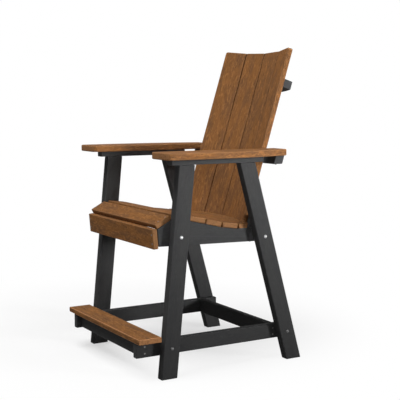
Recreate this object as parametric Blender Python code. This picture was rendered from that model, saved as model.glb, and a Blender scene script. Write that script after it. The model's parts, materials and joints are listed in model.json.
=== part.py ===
"""Counter-height outdoor chair in plastic lumber: a black A-frame with brown boards bolted and screwed to it.

Metres, +Z up. The sitter faces -Y, and left is the sitter's left, +X. Heights are above the floor, and until
the whole chair is centred at the end, Y is measured backwards from the front edge of the front feet.
"""

from math import asin, atan2, cos, hypot, pi, radians, sin, tan

import bmesh
import bpy
from mathutils import Vector

# Frame of four legs, two to a side
FRAME_WIDTH = 0.678
LEG_WIDTH = 0.070
LEG_THICKNESS = 0.037
LEG_HEIGHT = 0.8345
FRONT_LEG_LEAN = radians(5.54)
REAR_LEG_LEAN = radians(15.8)
FOOT_SPACING = 0.595

# Stretchers near the floor, and the footrest that their front ends carry
STRETCHER_HEIGHT = 0.062
STRETCHER_THICKNESS = 0.028
STRETCHER_LIFT = 0.0905
STRETCHER_FRONT_REACH = 0.0913
STRETCHER_REAR_TAIL = 0.028
REAR_STRETCHER_AHEAD = 0.048
FOOTREST_DEPTH = 0.098
FOOTREST_THICKNESS = 0.021
FOOTREST_FRONT_OVERHANG = 0.0064
FOOTREST_END_OVERHANG = 0.0015
FOOTREST_CROSS_SETBACK = 0.0233
FOOTREST_CROSS_HEIGHT = 0.060

# Seat: tilted front slat, crest, dip. Its depth is from the second slat's front to the middle of the back
SEAT_CREST = 0.642
SEAT_DROP = 0.056
SEAT_DEPTH = 0.403
SEAT_CREST_AHEAD = 0.0165
SEAT_DIP_LENGTH = 0.340
SEAT_SLAT_WIDTH = 0.0722
SEAT_SLAT_GAP = 0.005
SEAT_SLAT_THICKNESS = 0.021
SLAT_END_CLEARANCE = 0.0035
REAR_SLAT_LEAST = 0.020
FRONT_SLAT_WIDTH = 0.070
FRONT_SLAT_TILT = radians(28)
FRONT_SLAT_GAP = 0.008
SEAT_RAIL_THICKNESS = 0.028
SEAT_RAIL_AHEAD = 0.0663
SEAT_RAIL_FRONT_DEPTH = 0.1225
SEAT_RAIL_REAR_DEPTH = 0.135
SEAT_RAIL_TAIL = 0.028
APRON_HEIGHT = 0.0792
APRON_THICKNESS = 0.0215
APRON_TILT = radians(5)
APRON_RISE = 0.002

# Arms on their rails
ARM_RAIL_WIDTH = 0.040
ARM_RAIL_THICKNESS = 0.0235
ARM_RAIL_FRONT_OVERHANG = 0.0334
ARM_RAIL_REAR_OVERHANG = 0.0385
ARM_WIDTH = 0.145
ARM_THICKNESS = 0.0265
ARM_LENGTH = 0.581
ARM_INSET = 0.038
ARM_FRONT_OVERHANG = 0.0556
ARM_STRAIGHT = 0.202
ARM_REAR_TAPER = 0.0535
ARM_FRONT_CORNER = 0.025
ARM_REAR_CORNER = 0.006

# Back: slats side by side on a curve that is hollow to the sitter
BACK_EDGE_BEHIND_LEG = 0.0045
BACK_RECLINE = radians(17.48)
BACK_ABOVE_SEAT = 0.737
BACK_BELOW_SEAT = 0.072
BACK_SLAT_COUNT = 4
BACK_SIDE_CLEARANCE = 0.025
BACK_SLAT_GAP = 0.004
BACK_SLAT_THICKNESS = 0.0215
BACK_CURVE_RADIUS = 0.630
BACK_SLAT_CORNER = 0.004
BACK_OUTER_CORNER = 0.010
BACK_SEAT_CLEARANCE = 0.003
SEAT_ENDS_PAST_BACK = 0.007
UPPER_RAIL_AT = 0.5888
UPPER_RAIL_HEIGHT = 0.036
UPPER_RAIL_DEPTH = 0.042
UPPER_RAIL_END_INSET = 0.006
LOWER_RAIL_HEIGHT = 0.0355
LOWER_RAIL_DEPTH = 0.0415
LOWER_RAIL_END_INSET = 0.011
BOTTOM_RAIL_TOP = 0.021
BOTTOM_RAIL_HEIGHT = 0.082
BOTTOM_RAIL_DEPTH = 0.028

# Carriage bolts through the legs, with nuts inside
BOLT_DIAMETER = 0.008
BOLT_CLEARANCE = 0.0004
BOLT_HEAD_DIAMETER = 0.014
BOLT_HEAD_HEIGHT = 0.005
BOLT_HEAD_RIM = 0.0012
BOLT_END = 0.003
NUT_ACROSS_FLATS = 0.013
NUT_HEIGHT = 0.0065
FRONT_BOLT_DROP = 0.087
REAR_BOLT_DROP = 0.112

# Finish of edges, and the gap that pieces in contact keep
FRAME_EDGE = 0.004
BOARD_EDGE = 0.003
EDGE_STEPS = 2
FIT = 0.0003

# How finely curves are divided, and the angle from which an edge counts as sharp
ARC_STEP = radians(15)
RAIL_ARC_STEP = radians(4)
DOME_STEP = radians(30)
ROUND_STEPS = 16
ARM_TAPER_STEPS = 8
HALVINGS = 40
SHARP_ANGLE = radians(38)
MERGE_DISTANCE = 1e-6

# Directions in which an outline drawn in x and y is turned
FLAT = (0.0, 0.0, 0.0)
SIDE_ON = (pi / 2, 0.0, pi / 2)

# Places worked out from the sizes
LEG_OUTSIDE = FRAME_WIDTH / 2
LEG_INSIDE = LEG_OUTSIDE - LEG_THICKNESS
SLAT_HALF = LEG_INSIDE - SLAT_END_CLEARANCE
FOOTREST_LENGTH = FRAME_WIDTH + 2 * FOOTREST_END_OVERHANG
BOLT_HOLE_RADIUS = BOLT_DIAMETER / 2 + BOLT_CLEARANCE
SEAT_LOW = SEAT_CREST - SEAT_DROP
BACK_WIDTH = 2 * (LEG_INSIDE - SEAT_RAIL_THICKNESS - BACK_SIDE_CLEARANCE)
BACK_SLAT_WIDTH = (BACK_WIDTH + BACK_SLAT_GAP) / BACK_SLAT_COUNT - BACK_SLAT_GAP
STRETCHER_TOP = STRETCHER_LIFT + STRETCHER_HEIGHT
STRETCHER_MIDDLE = STRETCHER_LIFT + STRETCHER_HEIGHT / 2
ARM_RAIL_BOTTOM = LEG_HEIGHT + FIT
ARM_BOTTOM = ARM_RAIL_BOTTOM + ARM_RAIL_THICKNESS + FIT
FRONT_LEG_DEPTH = LEG_WIDTH / cos(FRONT_LEG_LEAN)
REAR_LEG_DEPTH = LEG_WIDTH / cos(REAR_LEG_LEAN)
SIDES = (("left", 1), ("right", -1))


def principled(name, colour, roughness, metallic=0.0):
    """A plain material of one colour."""
    material = bpy.data.materials.new(name)
    material.use_nodes = True
    shader = material.node_tree.nodes["Principled BSDF"]
    shader.inputs["Base Color"].default_value = (*colour, 1.0)
    shader.inputs["Roughness"].default_value = roughness
    shader.inputs["Metallic"].default_value = metallic
    return material


def empty(name, location=(0, 0, 0), rotation=FLAT, parent=None):
    """A frame that pieces are placed in."""
    holder = bpy.data.objects.new(name, None)
    holder.location = location
    holder.rotation_euler = rotation
    holder.parent = parent
    bpy.context.scene.collection.objects.link(holder)
    return holder


def piece(name, shape, material, parent, location=(0, 0, 0), rotation=FLAT):
    """An object made from a bmesh, which it uses up."""
    bmesh.ops.recalc_face_normals(shape, faces=shape.faces)
    mesh = bpy.data.meshes.new(name)
    shape.to_mesh(mesh)
    shape.free()
    made = bpy.data.objects.new(name, mesh)
    made.location = location
    made.rotation_euler = rotation
    made.parent = parent
    if material:
        mesh.materials.append(material)
    bpy.context.scene.collection.objects.link(made)
    return made


def cutter(name, shape, parent, location=(0, 0, 0), rotation=FLAT):
    """A shape that only cuts others."""
    made = piece(name, shape, None, parent, location, rotation)
    made.hide_render = True
    made.display_type = "WIRE"
    return made


def cut(made, tool):
    """Takes a cutter's shape out of a piece."""
    boolean = made.modifiers.new(tool.name, "BOOLEAN")
    boolean.operation = "DIFFERENCE"
    boolean.solver = "EXACT"
    boolean.object = tool


def ease(made, width):
    """Rounds the sawn edges of a board, but not the small steps of a curve."""
    bevel = made.modifiers.new("eased edges", "BEVEL")
    bevel.width = width
    bevel.segments = EDGE_STEPS
    bevel.limit_method = "ANGLE"
    bevel.angle_limit = SHARP_ANGLE


def prism(outline, thickness):
    """A bmesh of an outline in x and y, standing from z 0 to the thickness."""
    shape = bmesh.new()
    face = shape.faces.new([shape.verts.new((x, y, 0.0)) for x, y in outline])
    grown = bmesh.ops.extrude_face_region(shape, geom=[face])
    tops = [item for item in grown["geom"] if isinstance(item, bmesh.types.BMVert)]
    bmesh.ops.translate(shape, verts=tops, vec=(0, 0, thickness))
    return shape


def turned(profile):
    """A bmesh of a profile of radius and height, turned about z."""
    shape = bmesh.new()
    points = [shape.verts.new((radius, 0.0, height)) for radius, height in profile]
    edges = [shape.edges.new(pair) for pair in zip(points, points[1:])]
    bmesh.ops.spin(
        shape, geom=points + edges, axis=(0, 0, 1), cent=(0, 0, 0), angle=2 * pi, steps=ROUND_STEPS
    )
    bmesh.ops.remove_doubles(shape, verts=shape.verts, dist=MERGE_DISTANCE)
    return shape


def rectangle(low_x, low_y, high_x, high_y):
    """The outline of a rectangle."""
    return [(low_x, low_y), (high_x, low_y), (high_x, high_y), (low_x, high_y)]


def rounded(corners):
    """An outline of straight runs whose corners, given as x, y and radius, are arcs."""
    outline = []
    for here, (x, y, radius) in enumerate(corners):
        corner = Vector((x, y))
        if not radius:
            outline.append((x, y))
            continue
        before = (Vector(corners[here - 1][:2]) - corner).normalized()
        after = (Vector(corners[(here + 1) % len(corners)][:2]) - corner).normalized()
        half = before.angle(after) / 2
        centre = corner + (before + after).normalized() * radius / sin(half)
        start = corner + before * radius / tan(half) - centre
        end = corner + after * radius / tan(half) - centre
        sweep = atan2(start.cross(end), start.dot(end))
        steps = max(2, round(abs(sweep) / ARC_STEP))
        for step in range(steps + 1):
            angle = sweep * step / steps
            outline.append((
                centre.x + start.x * cos(angle) - start.y * sin(angle),
                centre.y + start.x * sin(angle) + start.y * cos(angle),
            ))
    return outline


def board(name, length, width, thickness, material, parent, location, rotation=FLAT):
    """A straight eased board: length along x, centred, width along y from 0, thickness below z 0."""
    shape = prism(rectangle(-length / 2, 0.0, length / 2, width), -thickness)
    made = piece(name, shape, material, parent, location, rotation)
    ease(made, BOARD_EDGE)
    return made


def front_leg_y(height):
    """Front edge of the front leg."""
    return height * tan(FRONT_LEG_LEAN)


def rear_leg_y(height):
    """Front edge of the rear leg."""
    return FOOT_SPACING - height * tan(REAR_LEG_LEAN)


def bolt_places():
    """Name, y and z of each bolt on one side: on the middle line of its leg, and the rail that it clamps."""
    heights = {
        "bolt_seat_front": SEAT_CREST - FRONT_BOLT_DROP,
        "bolt_seat_rear": SEAT_CREST - REAR_BOLT_DROP,
        "bolt_stretcher_front": STRETCHER_MIDDLE,
        "bolt_stretcher_rear": STRETCHER_MIDDLE,
    }
    places = {}
    for name, height in heights.items():
        if name.endswith("front"):
            places[name] = (front_leg_y(height) + FRONT_LEG_DEPTH / 2, height)
        else:
            places[name] = (rear_leg_y(height) + REAR_LEG_DEPTH / 2, height)
    return places


def make_drills(root):
    """Cutters for the bolt holes, each through a leg, the rail inside it and the nut."""
    drills = {}
    start = LEG_INSIDE - max(SEAT_RAIL_THICKNESS, STRETCHER_THICKNESS) - 3 * NUT_HEIGHT
    end = LEG_OUTSIDE + BOLT_HEAD_HEIGHT
    for name, (y, z) in bolt_places().items():
        for side, sign in SIDES:
            shape = turned([(0, start), (BOLT_HOLE_RADIUS, start), (BOLT_HOLE_RADIUS, end), (0, end)])
            drills[name, side] = cutter(
                f"drill_{name}_{side}", shape, root, (0, y, z), (0, sign * pi / 2, 0)
            )
    return drills


def make_legs(root, material, drills):
    """Four legs, cut level at the floor and under the arm rails."""
    for which, edge, depth in (
        ("front", front_leg_y, FRONT_LEG_DEPTH),
        ("rear", rear_leg_y, REAR_LEG_DEPTH),
    ):
        low, high = edge(0.0), edge(LEG_HEIGHT)
        outline = [(low, 0), (low + depth, 0), (high + depth, LEG_HEIGHT), (high, LEG_HEIGHT)]
        for side, sign in SIDES:
            x = LEG_INSIDE if sign > 0 else -LEG_OUTSIDE
            leg = piece(
                f"leg_{which}_{side}", prism(outline, LEG_THICKNESS), material, root, (x, 0, 0), SIDE_ON
            )
            ease(leg, FRAME_EDGE)
            cut(leg, drills[f"bolt_seat_{which}", side])
            cut(leg, drills[f"bolt_stretcher_{which}", side])


def make_stretchers(root, material, drills):
    """Side stretchers inside the legs, with a rear stretcher and the footrest's cross board between them."""
    front = -STRETCHER_FRONT_REACH
    rear_bolt = bolt_places()["bolt_stretcher_rear"][0]
    outside = LEG_INSIDE - FIT
    inside = outside - STRETCHER_THICKNESS
    outline = rectangle(front, STRETCHER_LIFT, rear_bolt + STRETCHER_REAR_TAIL, STRETCHER_TOP)
    for side, sign in SIDES:
        x = inside if sign > 0 else -outside
        stretcher = piece(
            f"side_stretcher_{side}", prism(outline, STRETCHER_THICKNESS), material, root, (x, 0, 0), SIDE_ON
        )
        ease(stretcher, FRAME_EDGE)
        cut(stretcher, drills["bolt_stretcher_front", side])
        cut(stretcher, drills["bolt_stretcher_rear", side])

    span = 2 * (inside - FIT)
    rear_middle = rear_bolt - REAR_STRETCHER_AHEAD
    rear = rectangle(
        rear_middle - STRETCHER_THICKNESS / 2,
        STRETCHER_LIFT,
        rear_middle + STRETCHER_THICKNESS / 2,
        STRETCHER_TOP,
    )
    cross_front = front + FOOTREST_CROSS_SETBACK
    cross = rectangle(
        cross_front, STRETCHER_TOP - FOOTREST_CROSS_HEIGHT, cross_front + STRETCHER_THICKNESS, STRETCHER_TOP
    )
    for name, section in (("rear_stretcher", rear), ("footrest_cross", cross)):
        made = piece(name, prism(section, span), material, root, (-span / 2, 0, 0), SIDE_ON)
        ease(made, FRAME_EDGE)


def make_footrest(root, material):
    """The footrest board across the front ends of the side stretchers."""
    place = (0, -STRETCHER_FRONT_REACH - FOOTREST_FRONT_OVERHANG, STRETCHER_TOP + FIT + FOOTREST_THICKNESS)
    board("footrest_board", FOOTREST_LENGTH, FOOTREST_DEPTH, FOOTREST_THICKNESS, material, root, place)


def seat_start():
    """Front edge of the second slat, the first of the level ones."""
    return back_at_seat() - SEAT_DEPTH


def seat_height(y):
    """The seat's top surface: level at the crest and at the back, with half a wave between."""
    along = min(max((y - seat_start() + SEAT_CREST_AHEAD) / SEAT_DIP_LENGTH, 0.0), 1.0)
    return SEAT_LOW + SEAT_DROP * (1 + cos(pi * along)) / 2


def seat_step(y, length):
    """The y that lies a straight length further back on the seat's surface."""
    near, far = y, y + length
    for _ in range(HALVINGS):
        middle = (near + far) / 2
        if hypot(middle - y, seat_height(middle) - seat_height(y)) < length:
            near = middle
        else:
            far = middle
    return far


def seat_stations():
    """Top edges of the slats, front to back, as pairs of y and z points: as many as start before the back."""
    stations = []
    y = seat_start()
    while y < back_at_slat_ends() - REAR_SLAT_LEAST:
        end = seat_step(y, SEAT_SLAT_WIDTH)
        stations.append((Vector((y, seat_height(y))), Vector((end, seat_height(end)))))
        y = seat_step(end, SEAT_SLAT_GAP)
    along = Vector((cos(FRONT_SLAT_TILT), sin(FRONT_SLAT_TILT)))
    under = under_slat(along)
    first_front = stations[0][0] + under_slat(stations[0][1] - stations[0][0])
    back = first_front - Vector((FRONT_SLAT_GAP, 0)) - under
    stations.insert(0, (back - along * FRONT_SLAT_WIDTH, back))
    return stations


def under_slat(direction):
    """From the top of a slat that runs in a direction, straight through to its underside."""
    unit = direction.normalized()
    return Vector((unit.y, -unit.x)) * SEAT_SLAT_THICKNESS


def seat_rail_rear():
    """Rear end of the seat rails, past the rear bolts."""
    return bolt_places()["bolt_seat_rear"][0] + SEAT_RAIL_TAIL


def seat_rail_front(z):
    """Front end of the seat rails, which leans forward with the apron."""
    forward = (z - (SEAT_CREST - SEAT_RAIL_FRONT_DEPTH)) * tan(APRON_TILT)
    return seat_start() - SEAT_RAIL_AHEAD - forward


def seat_rail_outline():
    """Side view of a seat rail, with a flat under each slat."""
    flats = []
    for front, back in seat_stations():
        drop = under_slat(back - front) * (1 + FIT / SEAT_SLAT_THICKNESS)
        flats.append((front + drop, back + drop))
    start, end = flats[0]
    slope = (end.y - start.y) / (end.x - start.x)
    # The front flat runs on down until it meets the leaning front end
    lean = tan(APRON_TILT)
    rise = (seat_rail_front(start.y) - start.x) * slope / (1 + lean * slope)
    nose = (seat_rail_front(start.y + rise), start.y + rise)
    # The rear flat runs on to the rear end
    rear = seat_rail_rear()
    last_front, last_back = flats[-1]
    last = last_back - last_front
    rear_top = last_back.y + (rear - last_back.x) * last.y / last.x
    bottom = SEAT_CREST - SEAT_RAIL_FRONT_DEPTH
    outline = [(seat_rail_front(bottom), bottom), (rear, SEAT_CREST - SEAT_RAIL_REAR_DEPTH), (rear, rear_top)]
    for front, back in reversed(flats[1:]):
        outline += [tuple(back), tuple(front)]
    outline += [tuple(end), nose]
    return outline


def make_seat_rails(root, material, drills):
    """The two rails that carry the seat between the legs."""
    outside = LEG_INSIDE - FIT
    outline = seat_rail_outline()
    for side, sign in SIDES:
        x = outside - SEAT_RAIL_THICKNESS if sign > 0 else -outside
        rail = piece(
            f"seat_rail_{side}", prism(outline, SEAT_RAIL_THICKNESS), material, root, (x, 0, 0), SIDE_ON
        )
        ease(rail, BOARD_EDGE)
        cut(rail, drills["bolt_seat_front", side])
        cut(rail, drills["bolt_seat_rear", side])


def make_seat(root, back_frame, material):
    """Seat slats on the rails' flats, the last one cut to the curve of the back, and the apron in front."""
    stations = seat_stations()
    for number, (front, back) in enumerate(stations, start=1):
        along = back - front
        width = along.length
        if number == len(stations):
            width += seat_rail_rear() - back.x
        place = (0, front.x, front.y)
        tilt = (atan2(along.y, along.x), 0, 0)
        name = f"seat_slat_{number}"
        if number < len(stations):
            board(name, 2 * SLAT_HALF, width, SEAT_SLAT_THICKNESS, material, root, place, tilt)
            continue
        shape = prism(rectangle(-SLAT_HALF, 0.0, SLAT_HALF, width), -SEAT_SLAT_THICKNESS)
        last = piece(name, shape, material, root, place, tilt)
        cut(last, make_back_cutter(back_frame))
        ease(last, BOARD_EDGE)

    front, back = stations[0]
    lowest = (front + under_slat(back - front)).y
    rear_top = lowest + APRON_RISE
    place = (0, seat_rail_front(rear_top) - FIT, rear_top)
    # The board's top face is its rear one here: it hangs down from its upper rear edge
    board(
        "seat_apron", 2 * SLAT_HALF, APRON_HEIGHT, APRON_THICKNESS, material, root, place,
        (-pi / 2 + APRON_TILT, 0, 0),
    )


def make_arm_rails(root, material):
    """Cleats that tie the tops of each side's legs and carry the arms."""
    front = front_leg_y(LEG_HEIGHT) - ARM_RAIL_FRONT_OVERHANG
    rear = rear_leg_y(LEG_HEIGHT) + REAR_LEG_DEPTH + ARM_RAIL_REAR_OVERHANG
    outline = rectangle(-ARM_RAIL_WIDTH / 2, front, ARM_RAIL_WIDTH / 2, rear)
    middle = LEG_INSIDE + LEG_THICKNESS / 2
    for side, sign in SIDES:
        rail = piece(
            f"arm_rail_{side}", prism(outline, ARM_RAIL_THICKNESS), material, root,
            (sign * middle, 0, ARM_RAIL_BOTTOM),
        )
        ease(rail, BOARD_EDGE)


def arm_outline(sign):
    """Plan of an arm from its inner front corner: broad in front, its outer edge drawn in to the rear."""
    corners = [
        (0.0, ARM_LENGTH, ARM_REAR_CORNER),
        (0.0, 0.0, ARM_FRONT_CORNER),
        (ARM_WIDTH, 0.0, ARM_FRONT_CORNER),
    ]
    for step in range(ARM_TAPER_STEPS + 1):
        along = step / ARM_TAPER_STEPS
        y = ARM_STRAIGHT + (ARM_LENGTH - ARM_STRAIGHT) * along
        radius = ARM_REAR_CORNER if step == ARM_TAPER_STEPS else 0.0
        corners.append((ARM_WIDTH - ARM_REAR_TAPER * along**2, y, radius))
    return [(sign * x, y) for x, y in rounded(corners)]


def make_arms(root, material):
    """The two arm boards."""
    front = front_leg_y(LEG_HEIGHT) - ARM_RAIL_FRONT_OVERHANG - ARM_FRONT_OVERHANG
    for side, sign in SIDES:
        shape = prism(arm_outline(sign), ARM_THICKNESS)
        place = (sign * (LEG_INSIDE - ARM_INSET), front, ARM_BOTTOM)
        arm = piece(f"arm_{side}", shape, material, root, place)
        ease(arm, FRAME_EDGE)


def back_angles():
    """Turn of each back slat in plan, from right to left."""
    pitch = (BACK_SLAT_WIDTH + BACK_SLAT_GAP) / BACK_CURVE_RADIUS
    return [(number - (BACK_SLAT_COUNT - 1) / 2) * pitch for number in range(BACK_SLAT_COUNT)]


def back_point(angle, across, depth):
    """A point in the plan of the back: across a slat from its middle line, and behind its front face."""
    middle = Vector((BACK_CURVE_RADIUS * sin(angle), BACK_CURVE_RADIUS * (cos(angle) - 1)))
    return middle + Vector((cos(angle), -sin(angle))) * across + Vector((sin(angle), cos(angle))) * depth


def back_line(depth):
    """The slats' faces at a depth behind their fronts, as points from right to left."""
    half = BACK_SLAT_WIDTH / 2
    return [back_point(angle, across, depth) for angle in back_angles() for across in (-half, half)]


def back_at_seat():
    """The y of the back's middle line on the level of the seat: its outer edges keep to the rear legs."""
    return rear_leg_y(SEAT_LOW) + BACK_EDGE_BEHIND_LEG - back_line(0.0)[-1].y


def seat_edge_line():
    """Plan of the seat's rear edge, right to left: along the back, and set back over the seat rails."""
    line = back_line(-BACK_SEAT_CLEARANCE)
    outer, along = line[-1], line[-1] - line[-2]
    turn = outer + along * (LEG_INSIDE - SEAT_RAIL_THICKNESS - outer.x) / along.x
    rear = turn.y + SEAT_ENDS_PAST_BACK
    ends = [turn, Vector((turn.x, rear)), Vector((LEG_OUTSIDE, rear))]
    return [Vector((-end.x, end.y)) for end in reversed(ends)] + line + ends


def back_at_slat_ends():
    """The y of the seat's rear edge over the seat rails, on the level of the seat."""
    return back_at_seat() + seat_edge_line()[-1].y / cos(BACK_RECLINE)


def make_back_cutter(back_frame):
    """Cuts the rearmost seat slat to the line of the back."""
    line = seat_edge_line()
    tip = line[-1]
    behind = line[len(line) // 2].y + 2 * BACK_SLAT_WIDTH
    outline = [tuple(point) for point in line]
    outline += [(tip.x, behind), (-tip.x, behind)]
    reach = BACK_BELOW_SEAT
    return cutter("back_line_cutter", prism(outline, 2 * reach), back_frame, (0, 0, -reach))


def make_back_slats(back_frame, material):
    """Parallel slats with square tops, and the outer two with rounder outer corners."""
    half = BACK_SLAT_WIDTH / 2
    angles = back_angles()
    for number, angle in enumerate(angles, start=1):
        right = BACK_OUTER_CORNER if angle == angles[0] else BACK_SLAT_CORNER
        left = BACK_OUTER_CORNER if angle == angles[-1] else BACK_SLAT_CORNER
        outline = rounded([
            (-half, -BACK_BELOW_SEAT, 0.0),
            (half, -BACK_BELOW_SEAT, 0.0),
            (half, BACK_ABOVE_SEAT, left),
            (-half, BACK_ABOVE_SEAT, right),
        ])
        rear = back_point(angle, 0.0, BACK_SLAT_THICKNESS)
        slat = piece(
            f"back_slat_{number}", prism(outline, BACK_SLAT_THICKNESS), material, back_frame,
            (rear.x, rear.y, 0), (pi / 2, 0, -angle),
        )
        ease(slat, BOARD_EDGE)


def back_rail_front(half_length):
    """Front edge of a rail from right to left: a flat behind each slat, and straight ends past them."""
    line = back_line(BACK_SLAT_THICKNESS + FIT)
    inner, outer = line[-2], line[-1]
    if half_length > outer.x:
        tip = Vector((half_length, outer.y))
        return [Vector((-tip.x, tip.y)), *line, tip]
    tip = inner.lerp(outer, (half_length - inner.x) / (outer.x - inner.x))
    return [Vector((-tip.x, tip.y)), *line[1:-1], tip]


def back_rail_outline(half_length, depth):
    """Plan of a curved rail: flats in front, and one arc with straight ends behind."""
    front = back_rail_front(half_length)
    radius = BACK_CURVE_RADIUS + BACK_SLAT_THICKNESS + depth
    broad = min(half_length, back_line(BACK_SLAT_THICKNESS + FIT)[-1].x)
    reach = asin(broad / radius)
    steps = max(4, round(2 * reach / RAIL_ARC_STEP))
    rear = []
    for step in range(steps + 1):
        angle = reach - 2 * reach * step / steps
        rear.append((radius * sin(angle), radius * cos(angle) - BACK_CURVE_RADIUS))
    if half_length > broad:
        rear = [(half_length, rear[0][1]), *rear, (-half_length, rear[-1][1])]
    return [tuple(point) for point in front] + rear


def lower_rail_top():
    """Height along the back's middle line of the underside of the arms, which the lower rail meets."""
    return (ARM_BOTTOM - FIT - SEAT_LOW) / cos(BACK_RECLINE)


def make_back_rails(back_frame, material):
    """Three curved rails behind the slats: near the top, level under the arms, and between the seat rails."""
    slats_half = back_line(BACK_SLAT_THICKNESS + FIT)[-1].x
    upper_half = slats_half - UPPER_RAIL_END_INSET
    lower_half = LEG_OUTSIDE - LOWER_RAIL_END_INSET
    bottom_half = LEG_INSIDE - SEAT_RAIL_THICKNESS - 2 * FIT
    upper_top = UPPER_RAIL_AT + UPPER_RAIL_HEIGHT / 2
    lower_height = LOWER_RAIL_HEIGHT / cos(BACK_RECLINE)
    for name, half_length, depth, height, top, slope in (
        ("back_rail_upper", upper_half, UPPER_RAIL_DEPTH, UPPER_RAIL_HEIGHT, upper_top, 0.0),
        ("back_rail_lower", lower_half, LOWER_RAIL_DEPTH, lower_height, lower_rail_top(), tan(BACK_RECLINE)),
        ("back_rail_bottom", bottom_half, BOTTOM_RAIL_DEPTH, BOTTOM_RAIL_HEIGHT, BOTTOM_RAIL_TOP, 0.0),
    ):
        shape = prism(back_rail_outline(half_length, depth), -height)
        for corner in shape.verts:
            corner.co.z += slope * corner.co.y
        rail = piece(name, shape, material, back_frame, (0, 0, top))
        ease(rail, BOARD_EDGE)


def make_bolts(root, material, drills):
    """Carriage bolts with domed heads outside the legs, and a nut on each inside the rail."""
    head, shank = BOLT_HEAD_DIAMETER / 2, BOLT_DIAMETER / 2
    for (name, side), drill in drills.items():
        y, z = bolt_places()[name]
        sign = dict(SIDES)[side]
        gripped = SEAT_RAIL_THICKNESS if "seat" in name else STRETCHER_THICKNESS
        nut_face = LEG_INSIDE - gripped - 2 * FIT
        tip = nut_face - NUT_HEIGHT - BOLT_END
        seat = LEG_OUTSIDE + FIT
        profile = [
            (0, tip),
            (shank - BOLT_END / 4, tip),
            (shank, tip + BOLT_END / 4),
            (shank, seat),
            (head, seat),
        ]
        for step in range(round(pi / 2 / DOME_STEP) + 1):
            angle = step * DOME_STEP
            rise = (BOLT_HEAD_HEIGHT - BOLT_HEAD_RIM) * sin(angle)
            profile.append((head * cos(angle), seat + BOLT_HEAD_RIM + rise))
        turn = (0, sign * pi / 2, 0)
        bolt = piece(f"{name}_{side}", turned(profile), material, root, (0, y, z), turn)
        bolt.data.shade_smooth()
        bolt.data.set_sharp_from_angle(angle=SHARP_ANGLE)

        corner = NUT_ACROSS_FLATS / 2 / cos(pi / 6)
        hexagon = [(corner * cos(k * pi / 3), corner * sin(k * pi / 3)) for k in range(6)]
        shape = prism(hexagon, NUT_HEIGHT)
        bmesh.ops.translate(shape, verts=shape.verts, vec=(0, 0, nut_face - NUT_HEIGHT))
        nut = piece(f"{name.replace('bolt', 'nut')}_{side}", shape, material, root, (0, y, z), turn)
        cut(nut, drill)


def rear_reach():
    """The rearmost point of the chair: the tops of the middle slats, or the upper rail behind them."""
    slat = max(point.y for point in back_line(BACK_SLAT_THICKNESS))
    rail = BACK_SLAT_THICKNESS + UPPER_RAIL_DEPTH
    return back_at_seat() + max(
        slat * cos(BACK_RECLINE) + BACK_ABOVE_SEAT * sin(BACK_RECLINE),
        rail * cos(BACK_RECLINE) + (UPPER_RAIL_AT + UPPER_RAIL_HEIGHT / 2) * sin(BACK_RECLINE),
    )


def main():
    for old in list(bpy.data.objects):
        bpy.data.objects.remove(old, do_unlink=True)

    frame_black = principled("black_lumber", (0.047, 0.047, 0.048), 0.55)
    board_brown = principled("brown_lumber", (0.223, 0.098, 0.034), 0.6)
    bolt_steel = principled("stainless_steel", (0.62, 0.62, 0.62), 0.3, 1.0)

    front_reach = -STRETCHER_FRONT_REACH - FOOTREST_FRONT_OVERHANG
    root = empty("chair", (0, -(front_reach + rear_reach()) / 2, 0))
    back_frame = empty("back_frame", (0, back_at_seat(), SEAT_LOW), (-BACK_RECLINE, 0, 0), root)

    drills = make_drills(root)
    make_legs(root, frame_black, drills)
    make_stretchers(root, frame_black, drills)
    make_footrest(root, board_brown)
    make_seat_rails(root, frame_black, drills)
    make_seat(root, back_frame, board_brown)
    make_arm_rails(root, frame_black)
    make_arms(root, board_brown)
    make_back_slats(back_frame, board_brown)
    make_back_rails(back_frame, frame_black)
    make_bolts(root, bolt_steel, drills)


main()
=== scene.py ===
"""Finishes, fasteners and studio of a two-tone plastic-lumber counter chair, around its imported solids."""

import json
from math import cos, pi, radians, sqrt, tan

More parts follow.
